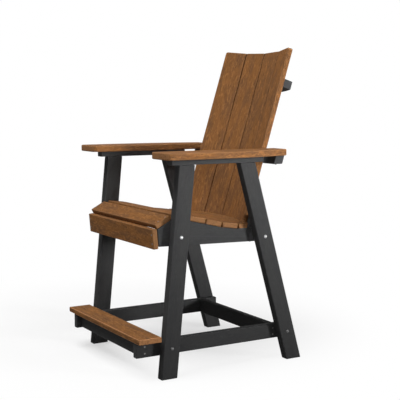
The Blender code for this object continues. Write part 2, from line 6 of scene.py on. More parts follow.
import bpy
from bpy.props import FloatProperty, FloatVectorProperty, IntProperty, PointerProperty
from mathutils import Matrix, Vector

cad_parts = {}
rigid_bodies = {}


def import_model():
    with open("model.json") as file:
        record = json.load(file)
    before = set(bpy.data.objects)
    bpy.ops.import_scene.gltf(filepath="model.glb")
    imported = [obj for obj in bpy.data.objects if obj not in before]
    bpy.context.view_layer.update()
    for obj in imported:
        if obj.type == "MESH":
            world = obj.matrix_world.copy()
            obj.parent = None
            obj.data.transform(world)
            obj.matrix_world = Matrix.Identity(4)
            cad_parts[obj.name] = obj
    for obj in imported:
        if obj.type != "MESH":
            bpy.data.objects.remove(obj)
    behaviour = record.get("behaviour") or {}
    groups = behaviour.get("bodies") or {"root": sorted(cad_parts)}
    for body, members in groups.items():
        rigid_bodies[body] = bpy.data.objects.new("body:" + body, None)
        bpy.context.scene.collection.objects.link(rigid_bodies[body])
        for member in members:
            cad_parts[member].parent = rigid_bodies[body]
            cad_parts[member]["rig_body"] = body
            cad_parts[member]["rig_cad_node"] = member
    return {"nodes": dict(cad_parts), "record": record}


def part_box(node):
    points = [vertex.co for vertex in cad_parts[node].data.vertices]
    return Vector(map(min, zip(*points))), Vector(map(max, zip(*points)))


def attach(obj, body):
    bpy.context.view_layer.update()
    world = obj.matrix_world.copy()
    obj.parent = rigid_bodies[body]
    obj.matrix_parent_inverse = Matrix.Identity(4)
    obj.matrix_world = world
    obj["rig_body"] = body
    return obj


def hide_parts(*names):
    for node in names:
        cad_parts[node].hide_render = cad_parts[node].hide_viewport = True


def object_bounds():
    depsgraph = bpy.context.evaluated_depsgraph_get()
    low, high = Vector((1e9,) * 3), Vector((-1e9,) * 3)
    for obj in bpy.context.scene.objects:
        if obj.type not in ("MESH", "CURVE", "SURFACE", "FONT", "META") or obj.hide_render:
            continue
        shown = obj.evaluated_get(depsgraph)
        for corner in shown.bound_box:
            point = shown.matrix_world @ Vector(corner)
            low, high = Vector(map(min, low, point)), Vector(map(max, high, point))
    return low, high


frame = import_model()

bl_info = {
    "name": "Counter chair looks",
    "version": (1, 0, 0),
    "blender": (4, 5, 0),
    "location": "View3D > Sidebar > Chair",
    "description": "Dresses the packed counter chair in plastic lumber and steel, and sets up its studio",
    "category": "Object",
}

CAD_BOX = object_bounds()
CAD_MIDDLE = tuple((CAD_BOX[0] + CAD_BOX[1]) / 2)
BODY = "root"
SLOT_COLOUR = {row["slot"]: row["base_color"] for row in frame["record"]["materials"]}

# Directions of the chair
ACROSS = Vector((1, 0, 0))
FORWARD = Vector((0, -1, 0))
UP = Vector((0, 0, 1))
SIDES = {"left": 1, "right": -1}

# Mesh clean-up of the copied boards
MERGE_DISTANCE = 1e-5
FLAT_ANGLE = radians(0.5)
SMOOTH_ANGLE = radians(50)
EASED_WIDTH = 0.0036
END_FACING = 0.7

# Places of screws on the boards, as shares of a board or in metres, and how far off they are aimed from
FACE_SCREW_SHARES = (0.27, 0.7)
BACK_SCREW_SHARES = (-0.25, 0.25)
REAR_SLAT_SCREW = 0.016
LOWER_RAIL_SCREW = (0.31, 0.237)
SEAT_RAIL_SCREW = 0.126
AIM_FROM = 1.0

# Layers of a moulded board: noise detail, roughness, distortion, and the levels where each starts and is full
LAYERS = {
    "drift": (2.0, 0.5, 0.8, 0.4, 0.6),
    "spot": (4.0, 0.65, 1.2, 0.48, 0.66),
    "streak": (5.0, 0.7, 1.2, 0.5, 0.68),
    "fleck": (4.0, 0.7, 1.8, 0.62, 0.72),
}
TONES = ("ground", "tint", "pale", "streak", "fleck")
GRAIN_LEVELS = (0.5, 0.8)

# How strongly a layer covers what lies under it
SPOT_COVER = 0.85
STREAK_COVER = 0.8
FLECK_COVER = 0.9
GRAIN_COVER = 0.2
MARK_COVER = 0.3
CLOUD_COVER = 0.6

# Sawn faces: length, width and noise of tool marks and clouds, and the levels where each starts and is full
TOOL_MARKS = (0.0022, 0.0016, 3.0, 0.65)
MARK_LEVELS = (0.5, 0.8)
CLOUDS = (0.02, 0.008, 3.0, 0.6, 1.0)
CLOUD_LEVELS = (0.48, 0.7)

# Surface of the lumber
MOULDED_ROUGHNESS = 0.55
GRAIN_ROUGHNESS = 0.16
STREAK_ROUGHNESS = 0.08
CUT_ROUGHNESS = 0.46
MARK_ROUGHNESS = 0.2
FLECK_HOLLOW = 0.5
GRAIN_BUMP = 0.6
LUMBER_GLOSS = 0.01

# Surface of the steel
SMEAR_SIZE = (0.004, 0.004, 0.004)
SMEAR_NOISE = (3.0, 0.6)
SMEAR_LEVELS = (0.28, 0.56)
BRUSH_SIZE = (0.0002, 0.003, 0.0002)
BRUSH_NOISE = (1.0, 0.5)
BRUSH_BUMP = 0.15
BRUSH_DEPTH = 0.0001
STEEL_ROUGHNESS = 0.32
SMEAR_ROUGHNESS = 0.2

# Forms of the fasteners: shares of the size that each belongs to, counts of steps, and the nut's angle
COUNTERSUNK_PROFILE = ((-0.9, 0.45), (-0.14, 0.97), (-0.06, 1), (-0.02, 0.97), (0, 0.9))
COUNTERSUNK_DRIVE = 0.55
BORE_DEPTH = 2
PAN_SHANK = 0.45
PAN_RIM = 0.35
PAN_DRIVE = 0.6
PAN_DOME_STEPS = 6
BOLT_DOME_STEPS = 8
BOLT_HEAD_EDGE = (0.4, 0.97)
THREAD_CREST = (0.4, 0.6)
THREAD_RUNOUT = 0.5
NUT_FACE = 0.95
NUT_CHAMFER = radians(30)
NUT_HEXAGON_REACH = 1.5
NUT_BORE_REACH = 2

# Floor and background
WHITE = (1.0, 1.0, 1.0)
SHADED_FLOOR = (0.95, 0.95, 0.95)
SHADOW_CORE = 0.04

# Lamps of the studio, and what each is given
LAMPS = ("top", "key", "fill")
LAMP_SETTINGS = ("power", "place", "aim", "size", "spread")

# Groups of the frame's nodes
BLACK_BOARDS = (
    [f"leg_{end}_{side}" for end in ("front", "rear") for side in SIDES]
    + [f"{board}_{side}" for board in ("side_stretcher", "seat_rail", "arm_rail") for side in SIDES]
    + ["rear_stretcher", "footrest_cross"]
)
SEAT_SLATS = sorted(node for node in frame["nodes"] if node.startswith("seat_slat"))
BACK_SLATS = sorted(node for node in frame["nodes"] if node.startswith("back_slat"))
BACK_RAILS = ["back_rail_upper", "back_rail_lower", "back_rail_bottom"]
BOLTS = sorted(node for node in frame["nodes"] if node.startswith("bolt"))
NUTS = sorted(node for node in frame["nodes"] if node.startswith("nut"))


def colour_property(name, description, default):
    """A colour that the user may change."""
    return FloatVectorProperty(name=name, description=description, subtype="COLOR", size=3, min=0, max=1,
                               default=default)


def length_property(name, description, default):
    """A length in metres that the user may change."""
    return FloatProperty(name=name, description=description, unit="LENGTH", min=0, precision=4,
                         default=default)


def place_property(name, description, default):
    """A place in the chair's frame that the user may change."""
    return FloatVectorProperty(name=name, description=description, subtype="TRANSLATION", unit="LENGTH",
                               size=3, default=default)


def power_property(name, description, default):
    """A lamp's power in watts that the user may change."""
    return FloatProperty(name=name, description=description, unit="POWER", default=default)


def angle_property(name, description, default):
    """An angle that the user may change."""
    return FloatProperty(name=name, description=description, subtype="ANGLE", default=default)


def share_property(name, description, default):
    """A share from 0 to 1 that the user may change."""
    return FloatProperty(name=name, description=description, subtype="FACTOR", min=0, max=1, default=default)


class LumberProperties(bpy.types.PropertyGroup):
    """Colours and figure of the brown and the black plastic lumber"""

    brown_ground: colour_property("Brown", "Main colour of the brown boards", SLOT_COLOUR["brown_lumber"])
    brown_tint: colour_property("Brown tint", "Tone that drifts over the brown boards", (0.172, 0.082, 0.036))
    brown_pale: colour_property("Brown pale", "Paler spots of the brown boards", (0.335, 0.150, 0.052))
    brown_streak: colour_property("Brown streak", "Streaks in the brown boards", (0.090, 0.047, 0.025))
    brown_fleck: colour_property("Brown fleck", "Dark flecks in the brown boards", (0.045, 0.028, 0.020))
    brown_cut: colour_property("Brown cut", "Sawn ends and edges of the brown boards", (0.250, 0.122, 0.053))
    brown_fresh: colour_property("Brown fresh", "Fresh-sawn ends of the footrest", (0.430, 0.205, 0.088))
    black_ground: colour_property("Black", "Main colour of the black boards", SLOT_COLOUR["black_lumber"])
    black_tint: colour_property("Black tint", "Tone that drifts over the black boards", (0.051, 0.051, 0.051))
    black_pale: colour_property("Black pale", "Paler spots of the black boards", (0.056, 0.056, 0.056))
    black_streak: colour_property("Black streak", "Streaks in the black boards", (0.042, 0.042, 0.043))
    black_fleck: colour_property("Black fleck", "Dark flecks in the black boards", (0.036, 0.036, 0.037))
    black_cut: colour_property("Black cut", "Sawn ends and edges of the black boards", (0.055, 0.055, 0.056))
    drift_length: length_property("Drift length", "Length over which a board's tone drifts", 0.17)
    drift_width: length_property("Drift width", "Width over which a board's tone drifts", 0.045)
    streak_length: length_property("Streak length", "Usual length of a streak", 0.036)
    streak_width: length_property("Streak width", "Usual width of a streak", 0.007)
    spot_length: length_property("Spot length", "Usual length of a pale spot", 0.036)
    spot_width: length_property("Spot width", "Usual width of a pale spot", 0.010)
    fleck_length: length_property("Fleck length", "Usual length of a fleck", 0.024)
    fleck_width: length_property("Fleck width", "Usual width of a fleck", 0.0065)
    grain_length: length_property("Grain length", "Length of a line of the embossed grain", 0.06)
    grain_width: length_property("Grain width", "Width of a line of the embossed grain", 0.0012)
    grain_depth: length_property("Grain depth", "Depth of the embossed grain", 0.0004)


class FastenerProperties(bpy.types.PropertyGroup):
    """Sizes and finish of the bolts, nuts and screws"""

    steel: colour_property("Steel", "Steel of the seat bolts and nuts", SLOT_COLOUR["stainless_steel"])
    worn_steel: colour_property("Worn steel", "Film on the seat bolts and nuts", (0.42, 0.42, 0.425))
    # Painted shade: this darker film makes the low stretcher bolts and nuts darker than the same bolts on the
    # seat, standing for the shaded floor that they reflect.
    dull_steel: colour_property("Dull steel", "Film on the stretcher bolts and nuts", (0.09, 0.09, 0.092))
    # The darker steel of the screws; as the base of the stretcher bolts and nuts it is painted shade as well.
    screw_steel: colour_property("Screw steel", "Steel of screws and stretcher bolts", (0.19, 0.185, 0.18))
    round_sides: IntProperty(name="Round sides", description="Sides of a turned part", min=12, default=48)
    bolt_shank: length_property("Bolt shank", "Diameter of the bolts", 0.008)
    head_rim: length_property("Head rim", "Height of the upright rim of a bolt's head", 0.0012)
    thread_pitch: length_property("Thread pitch", "Distance between two turns of the bolts' thread", 0.00125)
    thread_depth: length_property("Thread depth", "Depth of the bolts' thread", 0.0006)
    thread_length: length_property("Thread length", "Length of the thread at a bolt's end", 0.005)
    screw_head: length_property("Screw head", "Diameter of a countersunk screw head", 0.0068)
    screw_sink: length_property("Screw sink", "How far a countersunk head sits below the board", 0.0003)
    screw_bore: length_property("Screw bore", "Diameter of the bore that a countersunk head sits in", 0.0076)
    screw_drive: length_property("Screw drive", "Width of the square recess in a screw head", 0.0026)
    pan_head: length_property("Pan head", "Diameter of a pan-head screw", 0.0088)
    pan_height: length_property("Pan height", "Height of a pan-head screw's head", 0.0036)


class StudioProperties(bpy.types.PropertyGroup):
    """Camera, light and floor"""

    camera_place: place_property("Camera", "Where the camera stands", (3.46866, -1.99383, 1.08744))
    camera_turn: FloatVectorProperty(name="Camera turn", description="How the camera is turned",
                                     subtype="EULER", size=3, default=(radians(83.866), 0, radians(59.378)))
    camera_lens: FloatProperty(name="Lens", description="Focal length", subtype="DISTANCE_CAMERA",
                               default=84.633)
    ambient: FloatProperty(name="Ambient", description="Even light from all round", min=0, default=0.15)
    top_power: power_property("Top power", "Power of the high softbox", 304)
    top_place: place_property("Top place", "Where the high softbox hangs", (0.2, -2.3, 5.6))
    top_aim: place_property("Top aim", "Where the high softbox is aimed", CAD_MIDDLE)
    top_size: length_property("Top size", "Width of the high softbox", 3.4)
    top_spread: angle_property("Top spread", "Angle over which the high softbox shines", pi)
    key_power: power_property("Key power", "Power of the low rear spot", 22.4)
    key_place: place_property("Key place", "Where the low rear spot stands", (4.6, 3.85, 1.45))
    key_aim: place_property("Key aim", "Where the low rear spot is aimed", (0.3, 0.58, 1.25))
    key_size: length_property("Key size", "Width of the low rear spot", 1.2)
    key_spread: angle_property("Key spread", "Angle over which the low rear spot shines", radians(36))
    fill_power: power_property("Fill power", "Power of the side spot", 1.15)
    fill_place: place_property("Fill place", "Where the side spot stands", (4.0, -0.8, 1.25))
    fill_aim: place_property("Fill aim", "Where the side spot is aimed", (0, 0, 0.92))
    fill_size: length_property("Fill size", "Width of the side spot", 0.6)
    fill_spread: angle_property("Fill spread", "Angle over which the side spot shines", radians(20))
    floor_size: length_property("Floor", "Width of the floor", 40)
    floor_bounce: share_property("Floor bounce", "Share of light the floor returns", 0.35)
    floor_shadow: share_property("Floor shadow", "How strongly the chair's shadow shows", 0.52)
    shadow_place: place_property("Shadow", "Where the chair's shadow is deepest", (-0.6, -0.05, 0))
    shadow_reach: length_property("Shadow reach", "Distance from there to the plain white floor", 1.33)


class Value:
    """A shader socket on which Python arithmetic adds Math nodes."""

    def __init__(self, sheet, socket):
        self.sheet = sheet
        self.socket = socket

    def __add__(self, other):
        return self.sheet.math("ADD", self, other)

    def __sub__(self, other):
        return self.sheet.math("SUBTRACT", self, other)

    def __rsub__(self, other):
        return self.sheet.math("SUBTRACT", other, self)

    def __mul__(self, other):
        return self.sheet.math("MULTIPLY", self, other)

    __radd__ = __add__
    __rmul__ = __mul__


class Sheet:
    """A node tree that is written as expressions."""

    def __init__(self, tree):
        self.tree = tree
        self.tree.nodes.clear()

    def node(self, kind, settings=None, sockets=None, output=0):
        """Add a node, apply its settings, feed its sockets with values or links, and return one output."""
        made = self.tree.nodes.new(kind)
        for name, value in (settings or {}).items():
            setattr(made, name, value)
        for key, value in (sockets or {}).items():
            if isinstance(value, Value):
                self.tree.links.new(value.socket, made.inputs[key])
            else:
                made.inputs[key].default_value = value
        return Value(self, made.outputs[output]) if made.outputs else None

    def math(self, operation, first, second):
        """Join two numbers."""
        return self.node("ShaderNodeMath", {"operation": operation}, {0: first, 1: second})

    def mix(self, share, first, second):
        """Mix two colours."""
        return self.node("ShaderNodeMix", {"data_type": "RGBA"}, {0: share, 6: first, 7: second}, 2)

    def rise(self, value, low, high):
        """A smooth step from 0 at low to 1 at high."""
        return self.node("ShaderNodeMapRange", {"interpolation_type": "SMOOTHSTEP"},
                         {"Value": value, "From Min": low, "From Max": high})

    def scaled(self, place, scale, turn=(0, 0, 0)):
        """Coordinates in which one unit has this size along each turned axis."""
        return self.node("ShaderNodeMapping", {"vector_type": "TEXTURE"},
                         {"Vector": place, "Rotation": turn, "Scale": scale})

    def noise(self, place, detail, roughness, distortion=0.0):
        """Noise whose spots are about one unit wide."""
        return self.node("ShaderNodeTexNoise", {}, {"Vector": place, "Scale": 1.0, "Detail": detail,
                                                    "Roughness": roughness, "Distortion": distortion})

    def background_rays(self):
        """1 for rays that should see the white background: from the camera, off metal and through glass."""
        camera, glossy, glass = (self.node("ShaderNodeLightPath", output=f"Is {kind} Ray")
                                 for kind in ("Camera", "Glossy", "Transmission"))
        return self.math("MINIMUM", camera + glossy + glass, 1.0)


def solid(colour):
    """A property's colour with full opacity, as colour sockets take it."""
    return (*colour, 1.0)


class LumberSheet(Sheet):
    """The nodes of one lumber finish, whose figure runs along one direction of the chair."""

    def __init__(self, tree, along):
        super().__init__(tree)
        self.turn = ACROSS.rotation_difference(along).to_euler()
        self.place = self.node("ShaderNodeTexCoord", output="Object")

    def figure(self, length, width, detail=2.0, roughness=0.5, distortion=0.3):
        """Noise whose spots are this long along the board and this wide across it."""
        place = self.scaled(self.place, (length, width, width), self.turn)
        return self.noise(place, detail, roughness, distortion)

    def layer(self, props, name):
        """Where one layer of a moulded board shows, from 0 to 1."""
        detail, roughness, distortion, start, full = LAYERS[name]
        length = getattr(props, f"{name}_length")
        width = getattr(props, f"{name}_width")
        return self.rise(self.figure(length, width, detail, roughness, distortion), start, full)


def moulded_lumber(sheet, props, kind):
    """Colour, roughness and height of a moulded face: drifting tone, spots, streaks, flecks and grain."""
    ground, tint, pale, streak, fleck = (solid(getattr(props, f"{kind}_{tone}")) for tone in TONES)
    drift, spots, streaks, flecks = (sheet.layer(props, name) for name in LAYERS)
    grain = sheet.figure(props.grain_length, props.grain_width)
    colour = sheet.mix(drift, ground, tint)
    colour = sheet.mix(SPOT_COVER * spots, colour, pale)
    colour = sheet.mix(STREAK_COVER * streaks, colour, streak)
    colour = sheet.mix(FLECK_COVER * flecks, colour, fleck)
    colour = sheet.mix(GRAIN_COVER * sheet.rise(grain, *GRAIN_LEVELS), colour, streak)
    roughness = MOULDED_ROUGHNESS + GRAIN_ROUGHNESS * grain + STREAK_ROUGHNESS * streaks
    return colour, roughness, grain - FLECK_HOLLOW * flecks


def cut_lumber(sheet, props, kind, tone="cut"):
    """Colour, roughness and height of a sawn or routed face: plain plastic with fine tool marks."""
    cut = solid(getattr(props, f"{kind}_{tone}"))
    streak = solid(getattr(props, f"{kind}_streak"))
    marks = sheet.figure(*TOOL_MARKS)
    clouds = sheet.figure(*CLOUDS)
    colour = sheet.mix(MARK_COVER * sheet.rise(marks, *MARK_LEVELS), cut, streak)
    colour = sheet.mix(CLOUD_COVER * sheet.rise(clouds, *CLOUD_LEVELS), colour, streak)
    return colour, CUT_ROUGHNESS + MARK_ROUGHNESS * marks, marks


def fresh_lumber(sheet, props, kind):
    """A sawn face that hasn't weathered."""
    return cut_lumber(sheet, props, kind, "fresh")


def lumber(kind, along, treat):
    """The material of one lumber, made once for each direction and treatment of its boards."""
    heading = "_".join(f"{round(100 * part):d}" for part in along).replace("-", "m")
    name = f"{kind}_{treat.__name__}_{heading}"
    if name in bpy.data.materials:
        return bpy.data.materials[name]
    props = bpy.context.scene.chair_lumber
    material = bpy.data.materials.new(name)
    material.use_nodes = True
    sheet = LumberSheet(material.node_tree, along)
    colour, roughness, height = treat(sheet, props, kind)
    normal = sheet.node("ShaderNodeBump", {}, {
        "Strength": GRAIN_BUMP, "Distance": props.grain_depth, "Height": height})
    shader = sheet.node("ShaderNodeBsdfPrincipled", {}, {
        "Base Color": colour, "Roughness": roughness, "Normal": normal, "Specular IOR Level": LUMBER_GLOSS})
    sheet.node("ShaderNodeOutputMaterial", {}, {"Surface": shader})
    return material


def steel(tone, film=None):
    """Satin steel in one of the fasteners' colours, faintly brushed, with smears of any film on it."""
    name = f"{tone}_{film}" if film else tone
    if name in bpy.data.materials:
        return bpy.data.materials[name]
    props = bpy.context.scene.chair_fasteners
    material = bpy.data.materials.new(name)
    material.use_nodes = True
    sheet = Sheet(material.node_tree)
    place = sheet.node("ShaderNodeTexCoord", output="Object")
    smears = sheet.noise(sheet.scaled(place, SMEAR_SIZE), *SMEAR_NOISE)
    brush = sheet.noise(sheet.scaled(place, BRUSH_SIZE), *BRUSH_NOISE)
    colour = solid(getattr(props, tone))
    # On the stretcher bolts and nuts, the colour and its film are painted shade.
    if film:
        colour = sheet.mix(sheet.rise(smears, *SMEAR_LEVELS), colour, solid(getattr(props, film)))
    roughness = STEEL_ROUGHNESS + SMEAR_ROUGHNESS * smears
    normal = sheet.node("ShaderNodeBump", {}, {
        "Strength": BRUSH_BUMP, "Distance": BRUSH_DEPTH, "Height": brush})
    shader = sheet.node("ShaderNodeBsdfPrincipled", {}, {
        "Base Color": colour, "Metallic": 1.0, "Roughness": roughness, "Normal": normal})
    sheet.node("ShaderNodeOutputMaterial", {}, {"Surface": shader})
    return material


def pick(*objects):
    """Select these objects alone, and make the last one active."""
    bpy.ops.object.select_all(action="DESELECT")
    for obj in objects:
        obj.select_set(True)
        bpy.context.view_layer.objects.active = obj


def edit(obj):
    """Go into edit mode on one object, with all of it selected."""
    pick(obj)
    bpy.ops.object.mode_set(mode="EDIT")
    bpy.ops.mesh.select_all(action="SELECT")


def leave_edit():
    """Go back to object mode."""
    bpy.ops.object.mode_set(mode="OBJECT")


def discard(*objects):
    """Delete these objects."""
    pick(*objects)
    bpy.ops.object.delete()


def apply_modifier(obj, kind, **settings):
    """Add a modifier, set it and apply it."""
    pick(obj)
    bpy.ops.object.modifier_add(type=kind)
    modifier = obj.modifiers[-1]
    for name, value in settings.items():
        setattr(modifier, name, value)
    bpy.ops.object.modifier_apply(modifier=modifier.name)


def carve(obj, tool, operation):
    """Apply a boolean with another object, and delete that object."""
    apply_modifier(obj, "BOOLEAN", object=tool, operation=operation, solver="EXACT",
                   material_mode="TRANSFER")
    discard(tool)


def smooth(obj):
    """Round off the shading of eased edges while flat faces stay flat."""
    pick(obj)
    bpy.ops.object.shade_smooth_by_angle(angle=SMOOTH_ANGLE)
    apply_modifier(obj, "WEIGHTED_NORMAL", keep_sharp=True)


def settle(piece, node):
    """Hand a finished piece to the frame, in place of the CAD node that it stands for."""
    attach(piece, BODY)
    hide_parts(node)


def middle(node):
    """The middle of a CAD node's box."""
    low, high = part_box(node)
    return (low + high) / 2


def hit(node, start, direction):
    """The place where a line meets a CAD node from outside, and the surface's direction there."""
    found, place, normal, _ = frame["nodes"][node].ray_cast(start, direction)
    if not found:
        raise RuntimeError(f"a screw aimed at {node} misses it")
    return place, normal


def copied_board(node):
    """Copy a CAD board, with its mesh merged and its flat faces in one piece each."""
    pick(frame["nodes"][node])
    bpy.ops.object.duplicate()
    piece = bpy.context.object
    piece.name = f"{node}_board"
    piece.data.name = piece.name
    # The copy is a piece of its own, so it drops the marks of a CAD node
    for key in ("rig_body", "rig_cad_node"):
        del piece[key]
    edit(piece)
    bpy.ops.mesh.remove_doubles(threshold=MERGE_DISTANCE)
    bpy.ops.mesh.dissolve_limited(angle_limit=FLAT_ANGLE)
    leave_edit()
    return piece


def board_direction(piece):
    """The direction of a board's longest edge, pointing right, back or up."""
    points = piece.data.vertices
    edges = [points[edge.vertices[1]].co - points[edge.vertices[0]].co for edge in piece.data.edges]
    longest = max(edges, key=lambda edge: edge.length).normalized()
    return -longest if longest.dot(ACROSS - FORWARD + UP) < 0 else longest


def is_cut(piece, face, along):
    """Whether a face was sawn or routed: a board's end, or a narrow strip of an eased edge."""
    points = [piece.data.vertices[index].co for index in face.vertices]
    rim = sum((points[i] - points[i - 1]).length for i in range(len(points)))
    return abs(face.normal.dot(along)) > END_FACING or 2 * face.area / rim < EASED_WIDTH


def bore(piece, places):
    """Sink a flat-bottomed bore for a screw head at each place of a board."""
    props = bpy.context.scene.chair_fasteners
    tools = []
    for place, normal in places:
        bpy.ops.mesh.primitive_cylinder_add(vertices=props.round_sides // 2, radius=props.screw_bore / 2,
                                            depth=2 * BORE_DEPTH * props.screw_sink,
                                            location=place,
                                            rotation=normal.to_track_quat("Z", "Y").to_euler())
        tools.append(bpy.context.object)
    pick(*tools)
    bpy.ops.object.join()
    tool = bpy.context.object
    tool.data.materials.append(piece.data.materials[1])
    carve(piece, tool, "DIFFERENCE")


def dress_board(node, kind, along=None, cut=cut_lumber):
    """Make one board from its CAD node: moulded faces, cut ends and edges, and bores for its screws."""
    piece = copied_board(node)
    along = along or board_direction(piece)
    piece.data.materials.clear()
    piece.data.materials.append(lumber(kind, along, moulded_lumber))
    piece.data.materials.append(lumber(kind, along, cut))
    for face in piece.data.polygons:
        face.material_index = int(is_cut(piece, face, along))
    if node in SCREWS:
        bore(piece, SCREWS[node])
    smooth(piece)
    settle(piece, node)


def turned(name, stations):
    """A round solid on the Z axis from its (height, radius) stations, extruded and scaled ring by ring."""
    sides = bpy.context.scene.chair_fasteners.round_sides
    height, radius = stations[0]
    bpy.ops.object.select_all(action="DESELECT")
    bpy.ops.mesh.primitive_circle_add(vertices=sides, radius=radius, fill_type="NGON",
                                      location=(0, 0, height))
    piece = bpy.context.object
    piece.name = name
    edit(piece)
    for next_height, next_radius in stations[1:]:
        bpy.ops.mesh.extrude_region_move(TRANSFORM_OT_translate={"value": (0, 0, next_height - height)})
        share = next_radius / radius
        bpy.ops.transform.resize(value=(share, share, 1), center_override=(0, 0, next_height))
        height, radius = next_height, next_radius
    bpy.ops.mesh.select_all(action="SELECT")
    bpy.ops.mesh.normals_make_consistent(inside=False)
    leave_edit()
    bpy.ops.object.transform_apply()
    return piece


def placed_copy(model, name, place, direction):
    """A copy of a modelled part, moved to a place and turned so that its Z axis points outwards there."""
    pick(model)
    bpy.ops.object.duplicate()
    copy = bpy.context.object
    copy.name = name
    copy.data.name = name
    copy.location = place
    copy.rotation_mode = "QUATERNION"
    copy.rotation_quaternion = direction.to_track_quat("Z", "Y")
    bpy.ops.object.transform_apply(location=True, rotation=True, scale=True)
    return copy


def drive_recess(head, top, depth):
    """Cut the square drive into a screw head."""
    width = bpy.context.scene.chair_fasteners.screw_drive
    bpy.ops.mesh.primitive_cube_add(size=1, location=(0, 0, top), scale=(width, width, 2 * depth))
    carve(head, bpy.context.object, "DIFFERENCE")


def dome(base, radius, height, steps):
    """Stations of a dome, from its rim almost to its crown."""
    ball = (radius * radius + height * height) / (2 * height)
    crown = base + height
    stations = []
    for step in range(1, steps + 1):
        reach = radius * cos(pi / 2 * step / (steps + 1))
        stations.append((crown - ball + sqrt(ball * ball - reach * reach), reach))
    return stations


def finish_steel(piece, material):
    """Give a fastener its material and smooth shading."""
    piece.data.materials.clear()
    piece.data.materials.append(material)
    smooth(piece)


def countersunk_screw():
    """A flat-headed screw whose head's top is on the Z = 0 plane."""
    props = bpy.context.scene.chair_fasteners
    radius = props.screw_head / 2
    model = turned("countersunk_screw", [(height * radius, reach * radius)
                                         for height, reach in COUNTERSUNK_PROFILE])
    drive_recess(model, 0, COUNTERSUNK_DRIVE * radius)
    finish_steel(model, steel("screw_steel"))
    return model


def pan_screw():
    """A round-headed screw that stands on the Z = 0 plane."""
    props = bpy.context.scene.chair_fasteners
    radius = props.pan_head / 2
    shank = PAN_SHANK * radius
    rim = PAN_RIM * props.pan_height
    model = turned("pan_screw", [(-radius, shank), (0, shank), (0, radius), (rim, radius)]
                   + dome(rim, radius, props.pan_height - rim, PAN_DOME_STEPS))
    drive_recess(model, props.pan_height, PAN_DRIVE * props.pan_height)
    finish_steel(model, steel("screw_steel"))
    return model


def screw_places():
    """Every countersunk screw: its board, its place on the board's face, and the way that face points."""
    places = {}

    def add(node, start, direction):
        places.setdefault(node, []).append(hit(node, start, direction))

    rail_middle = middle("seat_rail_left").x
    for way in SIDES.values():
        for node in SEAT_SLATS[:-1]:
            low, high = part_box(node)
            for share in FACE_SCREW_SHARES:
                add(node, Vector((way * rail_middle, low.lerp(high, share).y, high.z + AIM_FROM)), -UP)
        low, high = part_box(SEAT_SLATS[-1])
        start = Vector((way * rail_middle, low.y + REAR_SLAT_SCREW, high.z + AIM_FROM))
        add(SEAT_SLATS[-1], start, -UP)
        low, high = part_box("seat_apron")
        for share in FACE_SCREW_SHARES:
            start = Vector((way * rail_middle, low.y - AIM_FROM, low.lerp(high, share).z))
            add("seat_apron", start, -FORWARD)
    for side, way in SIDES.items():
        stretcher = f"side_stretcher_{side}"
        low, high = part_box(stretcher)
        for cross in ("footrest_cross", "rear_stretcher"):
            for share in FACE_SCREW_SHARES:
                start = Vector((way * AIM_FROM, middle(cross).y, low.lerp(high, share).z))
                add(stretcher, start, -way * ACROSS)
    upright = (middle("back_rail_upper") - middle("back_rail_lower")).normalized()
    for slat in BACK_SLATS:
        rear = max((face for face in frame["nodes"][slat].data.polygons if face.normal.y > 0),
                   key=lambda face: face.area).normal
        sideways = rear.cross(upright)
        low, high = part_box(slat)
        for rail in BACK_RAILS:
            spot = middle(slat)
            spot += upright * (middle(rail) - spot).dot(upright)
            for share in BACK_SCREW_SHARES:
                add(rail, spot + share * (high.x - low.x) * sideways + AIM_FROM * rear, -rear)
    return places


def pan_screw_places():
    """Every round-headed screw: under the lower back rail's ends and the seat rails' rear ends."""
    places = {}
    for side, way in SIDES.items():
        start = Vector((way * LOWER_RAIL_SCREW[0], LOWER_RAIL_SCREW[1], 0))
        places.setdefault("back_rail_lower", []).append(hit("back_rail_lower", start, UP))
        rail = f"seat_rail_{side}"
        start = Vector((middle(rail).x, SEAT_RAIL_SCREW, 0))
        places[rail] = [hit(rail, start, UP)]
    return places


# Places of all screws, found by rays on the loaded nodes, which the update makes ready
bpy.context.view_layer.update()
SCREWS = screw_places()
PAN_SCREWS = pan_screw_places()


class CHAIR_OT_black_boards(bpy.types.Operator):
    """Make the legs, stretchers, seat rails, arm rails and footrest support in black lumber"""

    bl_idname = "chair.black_boards"
    bl_label = "Black frame boards"

    def execute(self, context):
        for node in BLACK_BOARDS:
            dress_board(node, "black")
        return {"FINISHED"}


class CHAIR_OT_seat(bpy.types.Operator):
    """Make the seat slats and the apron in brown lumber"""

    bl_idname = "chair.seat"
    bl_label = "Seat"

    def execute(self, context):
        for node in SEAT_SLATS + ["seat_apron"]:
            dress_board(node, "brown", ACROSS)
        return {"FINISHED"}


class CHAIR_OT_footrest(bpy.types.Operator):
    """Make the footrest board in brown lumber"""

    bl_idname = "chair.footrest"
    bl_label = "Footrest"

    def execute(self, context):
        dress_board("footrest_board", "brown", ACROSS, fresh_lumber)
        return {"FINISHED"}


class CHAIR_OT_arms(bpy.types.Operator):
    """Make the two arm boards in brown lumber"""

    bl_idname = "chair.arms"
    bl_label = "Arms"

    def execute(self, context):
        for side in SIDES:
            dress_board(f"arm_{side}", "brown", -FORWARD)
        return {"FINISHED"}


class CHAIR_OT_back(bpy.types.Operator):
    """Make the back's brown slats and its black rails"""

    bl_idname = "chair.back"
    bl_label = "Back"

    def execute(self, context):
        for node in BACK_SLATS:
            dress_board(node, "brown")
        for node in BACK_RAILS:
            dress_board(node, "black", ACROSS)
        return {"FINISHED"}


